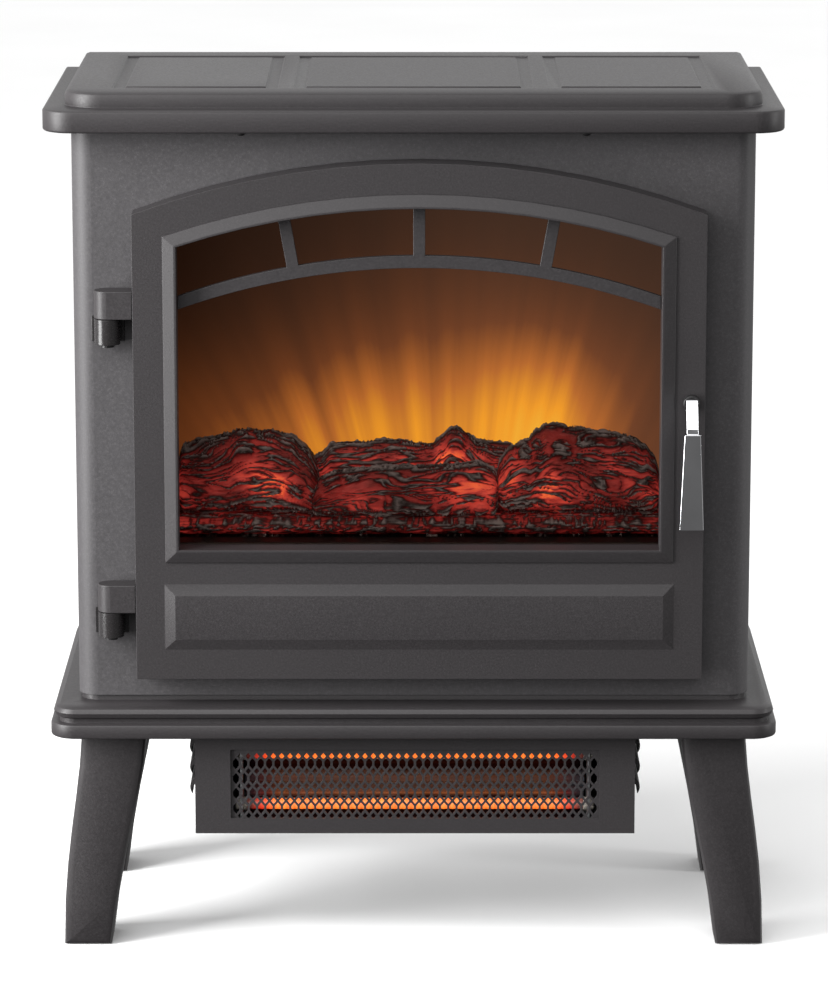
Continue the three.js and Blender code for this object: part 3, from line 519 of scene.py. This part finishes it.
def build_screw(node, name):
    """A pan-head screw seen from below: a domed head with a drive socket, and its shank."""
    low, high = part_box(node)
    centre = (low + high) / 2
    head_radius = (high.x - low.x) / 2
    socket, socket_depth = 1.3 * MM, 1.3 * MM
    head_height = 2.1 * MM
    shank = 2.0 * MM
    dome = [(0.45, 0.04), (0.8, 0.40), (0.98, 0.95), (1.0, 1.25)]
    profile = [(socket, low.z + socket_depth), (socket, low.z + 0.1 * MM)]
    profile += [(r * head_radius, low.z + h * head_height) for r, h in dome]
    profile += [
        (shank, low.z + 3.0 * MM), (shank, high.z - 1.0 * MM), (0.6 * MM, high.z),
    ]
    shape = bmesh.new()
    sides = 32
    rings = [
        [
            shape.verts.new((
                centre.x + radius * math.cos(2 * math.pi * i / sides),
                centre.y + radius * math.sin(2 * math.pi * i / sides), z,
            ))
            for i in range(sides)
        ]
        for radius, z in profile
    ]
    for first, second in zip(rings, rings[1:]):
        for i in range(sides):
            shape.faces.new((first[i], first[(i + 1) % sides], second[(i + 1) % sides], second[i]))
    shape.faces.new(list(reversed(rings[0])))
    shape.faces.new(rings[-1])
    bmesh.ops.recalc_face_normals(shape, faces=shape.faces)
    mesh = bpy.data.meshes.new(name)
    shape.to_mesh(mesh)
    shape.free()
    mesh.shade_smooth()
    mesh.set_sharp_from_angle(angle=math.radians(50))
    piece_from(mesh, name, "cabinet", "dark_steel", [node])


# ---------------------------------------------------------------- logs and embers

def ridges(point, sharpness):
    """Narrow flowing crests over broad hollows, from 0 in a hollow to 1 on a crest."""
    valley = abs(noise.noise(point))
    return max(0.0, 1.0 - valley * sharpness) ** 1.5


def bark(x, around, seed):
    """Height of the bark, 0 to 1, on a log that runs along X.

    Crests flow along the log, bend round its knots and break up into short flakes."""
    bend = noise.noise(Vector((x * 22, around * 1.1, seed))) * 0.55
    warp = noise.noise(Vector((x * 60, around * 3.0, seed + 9))) * 0.16
    long_crests = ridges(Vector((x * 26 + seed, (around + bend + warp) * 7.5, seed * 2)), 4.2)
    short_crests = ridges(Vector((x * 70, (around + bend) * 12.0 + seed, seed)), 4.0)
    lumps = 0.5 + 0.5 * noise.noise(Vector((x * 45, around * 2.2, seed + 4)))
    return min(1.0, 0.66 * long_crests + 0.5 * short_crests * lumps + 0.22 * lumps)


EMBER_SEED = 27.0
BARK_RELIEF = 5.4 * MM  # from the deepest hollow to the highest crest
BARK_LEVEL = 0.4  # the height that stays on the log's own surface
SQUARENESS = 2.5  # of a log's section: 2 is an ellipse, more is boxier
KNOT_SWELL = 3.0
KNOT_RING = 1.6


class Log:
    """A fire log along X: top outline, bottom height, depth range and where it glows."""

    def __init__(self, node, top, bottom, knots=(), seed=1.0, hot=(0.0, 0.0), heat=1.0, end=7.0):
        self.node = node
        self.low, self.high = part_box(node)
        self.top = [(x * MM, z * MM) for x, z in top]
        self.bottom = bottom * MM
        self.knots = [(x * MM, z * MM, r * MM) for x, z, r in knots]
        self.seed = seed
        self.hot_x, self.hot_z = hot[0] * MM, hot[1] * MM
        self.heat = heat
        self.end = end * MM  # length over which each end rounds off

    def build(self):
        along, around = 330, 230
        x0, x1 = self.top[0][0], self.top[-1][0]
        centre_y = (self.low.y + self.high.y) / 2
        half_y = (self.high.y - self.low.y) / 2 - 1.5 * MM
        points, crests, heats = [], [], []
        for i in range(along + 1):
            x = x0 + (x1 - x0) * i / along
            inset = min(x - x0, x1 - x)
            close = math.sqrt(max(0.0, 1 - max(0.0, 1 - inset / self.end) ** 2))
            top = interpolate(self.top, x) - 1.2 * MM
            centre_z = (top + self.bottom) / 2
            half_z = (top - self.bottom) / 2
            for j in range(around):
                angle = 2 * math.pi * j / around
                c, s = math.cos(angle), math.sin(angle)
                shape = (abs(c) ** SQUARENESS + abs(s) ** SQUARENESS) ** (-1 / SQUARENESS)
                height = bark(x, angle, self.seed)
                y = centre_y - c * shape * half_y * close
                z = centre_z + s * shape * half_z * close
                push = (height - BARK_LEVEL) * BARK_RELIEF
                for knot_x, knot_z, radius in self.knots:
                    if c < 0:
                        continue
                    away = math.hypot(x - knot_x, z - knot_z) / radius
                    swell = math.exp(-away * away * 1.6)
                    ring = math.exp(-((away - 1.05) ** 2) * 16)
                    push += (swell * KNOT_SWELL - ring * KNOT_RING) * MM
                    height += swell * 0.16 - ring * 0.35
                fade = min(1.0, close + 0.25)
                y -= c * push * fade
                z += s * push * fade
                points.append((x, y, max(z, self.bottom - 1 * MM)))
                crests.append(max(0.0, min(1.0, height)))
                far = math.hypot(x - self.hot_x, (z - self.hot_z) * 1.2)
                front = max(0.0, c) * 0.35 + 0.65
                climb = max(0.0, min(1.0, (z - self.bottom) / (top - self.bottom)))
                cool = 1 - 0.45 * climb ** 3
                spot = 0.62 + 0.72 * math.exp(-((far / (26 * MM)) ** 2))
                heats.append(self.heat * front * cool * spot)
        faces = []
        for i in range(along):
            for j in range(around):
                k = (j + 1) % around
                faces.append((
                    i * around + j, (i + 1) * around + j, (i + 1) * around + k, i * around + k,
                ))
        faces.append(list(range(around)))
        faces.append([along * around + j for j in reversed(range(around))])
        mesh = mesh_from(self.node + "_bark", points, faces)
        for label, values in (("crest", crests), ("glow_share", heats)):
            layer = mesh.attributes.new(label, "FLOAT", "POINT")
            layer.data.foreach_set("value", values)
        return piece_from(mesh, self.node + "_bark", "cabinet", "log_resin", [self.node])


LOGS = [
    Log(
        "log_left",
        [(-168, 344), (-162, 351), (-145, 354), (-130, 358), (-124, 361), (-100, 360.5),
         (-87, 357), (-78, 350), (-66, 337)],
        304, knots=[(-120, 352, 9), (-83, 322, 8)], seed=3.1, hot=(-98, 319), heat=0.92,
    ),
    Log(
        "log_back",
        [(-76, 332), (-66, 339), (-58, 346), (-45, 347), (-12, 349), (4, 346), (13, 346), (20, 351),
         (27, 357), (32, 357.5), (38, 354.5), (46, 349), (58, 347), (72, 346)],
        305, knots=[(30, 350, 8)], seed=7.7, hot=(5, 334), heat=1.3, end=3,
    ),
    Log(
        "log_front",
        [(-72, 322), (-64, 331), (-52, 335), (-30, 337), (0, 338), (24, 339), (44, 341), (60, 336)],
        304, knots=[(-58, 327, 8), (22, 312, 7), (47, 309, 6)], seed=12.4, hot=(44, 322), heat=0.95,
        end=5,
    ),
    Log(
        "log_right",
        [(57, 328), (61, 342), (70, 349), (80, 353), (88, 360), (94, 364.5), (116, 362),
         (135, 359), (153, 356), (163, 350), (169, 344), (176, 332)],
        304, knots=[(104, 352, 9), (78, 347, 6)], seed=18.9, hot=(78, 325), heat=1.05, end=9,
    ),
]


def build_ember_bed():
    """Charred crust along the whole firebox: a lumpy mound with a rounded front."""
    low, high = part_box("ember_bed")
    along, across = 420, 46
    nose = 14 * MM  # depth of the rounded front
    section = []
    for j in range(across + 1):
        t = j / across
        if t < 0.3:
            turn = t / 0.3 * math.pi / 2
            section.append((
                low.y + nose * (1 - math.sin(turn)),
                low.z + (high.z - low.z) * (1 - math.cos(turn)) * 0.9,
            ))
        else:
            back = low.y + nose + (high.y - low.y - nose) * (t - 0.3) / 0.7
            section.append((back, high.z - 1 * MM))
    section = [(low.y + 1 * MM, low.z)] + section
    points, crests, heats = [], [], []
    rows = len(section)
    for i in range(along + 1):
        x = low.x + (high.x - low.x) * i / along
        for j, (y, z) in enumerate(section):
            height = bark(x * 1.3, j * 0.14, EMBER_SEED)
            edge = 0.0 if i in (0, along) or j == 0 else 1.0
            lump = (height - 0.45) * 3.0 * MM * edge
            front = 1.0 if y < low.y + nose else 0.0
            points.append((x, max(low.y, y - lump * 0.8 * front), max(low.z, z + lump * 0.7)))
            crests.append(height * 0.9 + 0.15)
            heats.append(0.62 * min(1.0, j / 9))
    floor = len(points)
    for i in range(along + 1):
        x = low.x + (high.x - low.x) * i / along
        points.append((x, high.y, low.z))
        crests.append(0.5)
        heats.append(0.0)
    faces = []
    for i in range(along):
        for j in range(rows - 1):
            a, b = i * rows + j, (i + 1) * rows + j
            faces.append((a, b, b + 1, a + 1))
        faces.append((i * rows + rows - 1, (i + 1) * rows + rows - 1, floor + i + 1, floor + i))
        faces.append((floor + i, floor + i + 1, (i + 1) * rows, i * rows))
    for i in (0, along):
        ring = [i * rows + j for j in range(rows)] + [floor + i]
        faces.append(ring if i == 0 else ring[::-1])
    mesh = mesh_from("ember_crust", points, faces)
    for label, values in (("crest", crests), ("glow_share", heats)):
        layer = mesh.attributes.new(label, "FLOAT", "POINT")
        layer.data.foreach_set("value", values)
    piece_from(mesh, "ember_crust", "cabinet", "log_resin", ["ember_bed"])


# ---------------------------------------------------------------- heater outlet

def inset(corners, distance):
    """A convex outline, given anticlockwise, with every side moved inwards."""
    sides = []
    for (x0, y0), (x1, y1) in zip(corners, corners[1:] + corners[:1]):
        length = math.hypot(x1 - x0, y1 - y0)
        nx, ny = -(y1 - y0) / length, (x1 - x0) / length
        sides.append((nx, ny, nx * x0 + ny * y0 + distance))
    points = []
    for (a, b, c), (d, e, f) in zip([sides[-1]] + sides[:-1], sides):
        det = a * e - b * d
        points.append(((c * e - b * f) / det, (a * f - c * d) / det))
    return points


def build_grille():
    """Perforated sheet: rows of tall hexagons with rows of diamonds between them."""
    low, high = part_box("heater_grille")
    columns, hex_rows = 44, 4
    pitch, period, wall = 5.87 * MM, 10.86 * MM, 1.4 * MM
    straight = 3.7 * MM  # length of a hexagon's upright sides
    centre_x = (low.x + high.x) / 2
    drop = 1.9 * MM  # the pattern sits this much below the sheet's middle
    centre_z = (low.z + high.z) / 2 - drop
    half = pitch / 2
    rise = (period - straight) / 2
    holes = []

    def opening(x, z, corners):
        holes.append([(x + dx, z + dz) for dx, dz in inset(corners, wall / 2)])

    hexagon = [
        (half, -straight / 2), (half, straight / 2), (0, period / 2),
        (-half, straight / 2), (-half, -straight / 2), (0, -period / 2),
    ]
    diamond = [(half, 0), (0, rise), (-half, 0), (0, -rise)]
    for column in range(columns):
        x = centre_x + (column - (columns - 1) / 2) * pitch
        for row in range(hex_rows):
            opening(x, centre_z + (row - (hex_rows - 1) / 2) * period, hexagon)
    for column in range(columns - 1):
        x = centre_x + (column - (columns - 2) / 2) * pitch
        for row in range(hex_rows + 1):
            opening(x, centre_z + (row - hex_rows / 2) * period, diamond)
    outline = [(low.x, low.z), (high.x, low.z), (high.x, high.z), (low.x, high.z)]
    curve = bpy.data.curves.new("perforated_sheet", "CURVE")
    curve.dimensions = "2D"
    curve.fill_mode = "BOTH"
    curve.extrude = (high.y - low.y) / 2 - 0.1 * MM
    curve.bevel_depth = 0.1 * MM
    for corners in [outline] + holes:
        spline = curve.splines.new("POLY")
        spline.points.add(len(corners) - 1)
        spline.use_cyclic_u = True
        for point, (x, z) in zip(spline.points, corners):
            point.co = (x, z, 0, 1)
    holder = bpy.data.objects.new("perforated_sheet", curve)
    bpy.context.scene.collection.objects.link(holder)
    mesh = bpy.data.meshes.new_from_object(
        holder.evaluated_get(bpy.context.evaluated_depsgraph_get())
    )
    bpy.data.objects.remove(holder)
    stand_up = Matrix.Translation((0, (low.y + high.y) / 2, 0)) @ Matrix.Rotation(math.pi / 2, 4, "X")
    mesh.transform(stand_up)
    piece_from(mesh, "perforated_grille", "cabinet", "dark_steel", ["heater_grille"], COAT)


def ring_of(shape, x, y, z, radius, sides):
    turns = [2 * math.pi * i / sides for i in range(sides)]
    return [
        shape.verts.new((x, y + radius * math.cos(turn), z + radius * math.sin(turn)))
        for turn in turns
    ]


def turned(name, profile, y, z, sides=28):
    """A closed solid of revolution along X, from points of (x, radius)."""
    shape = bmesh.new()
    rings = [ring_of(shape, x, y, z, radius, sides) for x, radius in profile]
    for first, second in zip(rings, rings[1:]):
        for i in range(sides):
            k = (i + 1) % sides
            shape.faces.new((first[i], second[i], second[k], first[k]))
    shape.faces.new(rings[0])
    shape.faces.new(rings[-1][::-1])
    bmesh.ops.recalc_face_normals(shape, faces=shape.faces)
    mesh = bpy.data.meshes.new(name)
    shape.to_mesh(mesh)
    shape.free()
    mesh.shade_smooth()
    mesh.set_sharp_from_angle(angle=math.radians(40))
    return mesh


TUBE_RADIUS = 4.0 * MM
TUBE_CAP_RADIUS = 5.0 * MM


def build_tube(node, side):
    """A quartz tube with a ceramic cap at each end, high in the space that its node holds."""
    low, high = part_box(node)
    cap_radius = TUBE_CAP_RADIUS
    radius = TUBE_RADIUS
    y, z = (low.y + high.y) / 2, high.z - cap_radius
    reach = 9 * MM  # the sleeve starts this far in from each end
    ripple = []  # every second ring is a little thinner
    depth = 0.25 * MM
    count = 150
    start, stop = low.x + reach, high.x - reach
    for i in range(count + 1):
        wave = 0.5 - 0.5 * math.cos(2 * math.pi * i / 2)
        ripple.append((start + (stop - start) * i / count, radius - depth * wave))
    profile = [(start - 1 * MM, radius - 0.6 * MM)] + ripple + [(stop + 1 * MM, radius - 0.6 * MM)]
    piece_from(
        turned(side + "_quartz_tube", profile, y, z), side + "_quartz_tube", "cabinet", "quartz", [node],
    )
    for end, edge, way in (("left", low.x, 1), ("right", high.x, -1)):
        steps = [
            (0, cap_radius - 1.4 * MM), (0.8, cap_radius - 0.6 * MM), (3.0, cap_radius - 0.6 * MM),
            (3.2, cap_radius - 0.2 * MM), (7.2, cap_radius - 0.2 * MM), (7.9, cap_radius - 0.9 * MM),
        ]
        cap = [(edge + way * x * MM, r) for x, r in steps]
        name = f"{side}_tube_cap_{end}"
        piece_from(turned(name, cap, y, z), name, "cabinet", "ceramic")


# ---------------------------------------------------------------- stage

def build_stage():
    floor = mesh_from(
        "floor", [(-8, -6, 0), (8, -6, 0), (8, 14, 0), (-8, 14, 0)], [(0, 1, 2, 3)], False,
    )
    n = Nodes("white floor")
    paper = n.noise(3.0, 2.0)
    n.set(Base_Color=n.ramp(paper, (0.3, (0.86, 0.86, 0.86)), (0.7, (0.88, 0.88, 0.88))), Roughness=0.9)
    floor.materials.append(n.material)
    ground = bpy.data.objects.new("floor", floor)
    ground.location.z = -FLOOR_DROP
    ground.visible_glossy = False
    ground.visible_diffuse = False
    bpy.context.scene.collection.objects.link(ground)


def area_light(name, place, target, size, power):
    light = bpy.data.lights.new(name, "AREA")
    light.shape = "RECTANGLE"
    light.size, light.size_y = size
    light.energy = power
    lamp = bpy.data.objects.new(name, light)
    lamp.location = place
    lamp.rotation_euler = (Vector(target) - Vector(place)).to_track_quat("-Z", "Y").to_euler()
    lamp.visible_camera = False
    bpy.context.scene.collection.objects.link(lamp)


def ramp_down(tree, socket, low, high, dark, bright):
    """From dark to bright as one axis of the view direction goes from low to high."""
    node = tree.nodes.new("ShaderNodeMapRange")
    tree.links.new(socket, node.inputs[0])
    for value, given in zip((low, high, dark, bright), node.inputs[1:5]):
        given.default_value = value
    return node.outputs[0]


SUN_STRENGTH = 1.85
SUN_SPREAD = math.radians(60)
SUN_TILT, SUN_LEAN = math.radians(50), math.radians(-20)
SOFTBOXES = [
    # name, place, aimed at, width and height, watts
    ("left softbox", (-1.5, -0.75, 0.75), (0, 0, 0.40), (0.8, 1.6), 84),
    ("right softbox", (2.5, -0.4, 0.8), (0, 0, 0.35), (0.4, 1.6), 20),
    ("back softbox", (1.6, 3.0, 1.5), (0, 0, 0.6), (2.4, 1.2), 3.0),
]


def build_lights():
    """Softboxes at both sides and the back, a broad key, and a room darker in front and below."""
    world = bpy.data.worlds.new("studio")
    bpy.context.scene.world = world
    world.use_nodes = True
    tree = world.node_tree
    background = tree.nodes["Background"]
    coordinates = tree.nodes.new("ShaderNodeTexCoord")
    split = tree.nodes.new("ShaderNodeSeparateXYZ")
    tree.links.new(coordinates.outputs["Generated"], split.inputs[0])
    front = ramp_down(tree, split.outputs["Y"], -0.95, 0.1, 0.22, 0.95)  # -Y is in front
    below = ramp_down(tree, split.outputs["Z"], -0.5, 0.05, 0.20, 1.0)
    product = tree.nodes.new("ShaderNodeMath")
    product.operation = "MULTIPLY"
    tree.links.new(front, product.inputs[0])
    tree.links.new(below, product.inputs[1])
    tree.links.new(product.outputs[0], background.inputs["Strength"])
    background.inputs["Color"].default_value = (1, 1, 1, 1)

    sun = bpy.data.lights.new("key", "SUN")
    sun.energy = SUN_STRENGTH
    sun.angle = SUN_SPREAD
    lamp = bpy.data.objects.new("key", sun)
    lamp.rotation_euler = (SUN_TILT, SUN_LEAN, 0)
    bpy.context.scene.collection.objects.link(lamp)

    for softbox in SOFTBOXES:
        area_light(*softbox)


def build_camera():
    data = bpy.data.cameras.new("camera")
    data.lens = LENS
    data.sensor_width = 36
    camera = bpy.data.objects.new("camera", data)
    camera.location = EYE
    camera.rotation_euler = (math.pi / 2 - PITCH_DOWN, 0, 0)
    bpy.context.scene.collection.objects.link(camera)
    bpy.context.scene.camera = camera


# ---------------------------------------------------------------- the whole

build_camera()
bpy.context.scene.view_settings.view_transform = "Standard"
build_stage()
build_lights()
dress_cad_nodes()
build_casework()
build_handle()
build_screw("top_screw_left", "left_top_screw")
build_screw("top_screw_right", "right_top_screw")
for log in LOGS:
    log.build()
build_ember_bed()
build_grille()
build_tube("heater_tube_upper", "upper")
build_tube("heater_tube_lower", "lower")
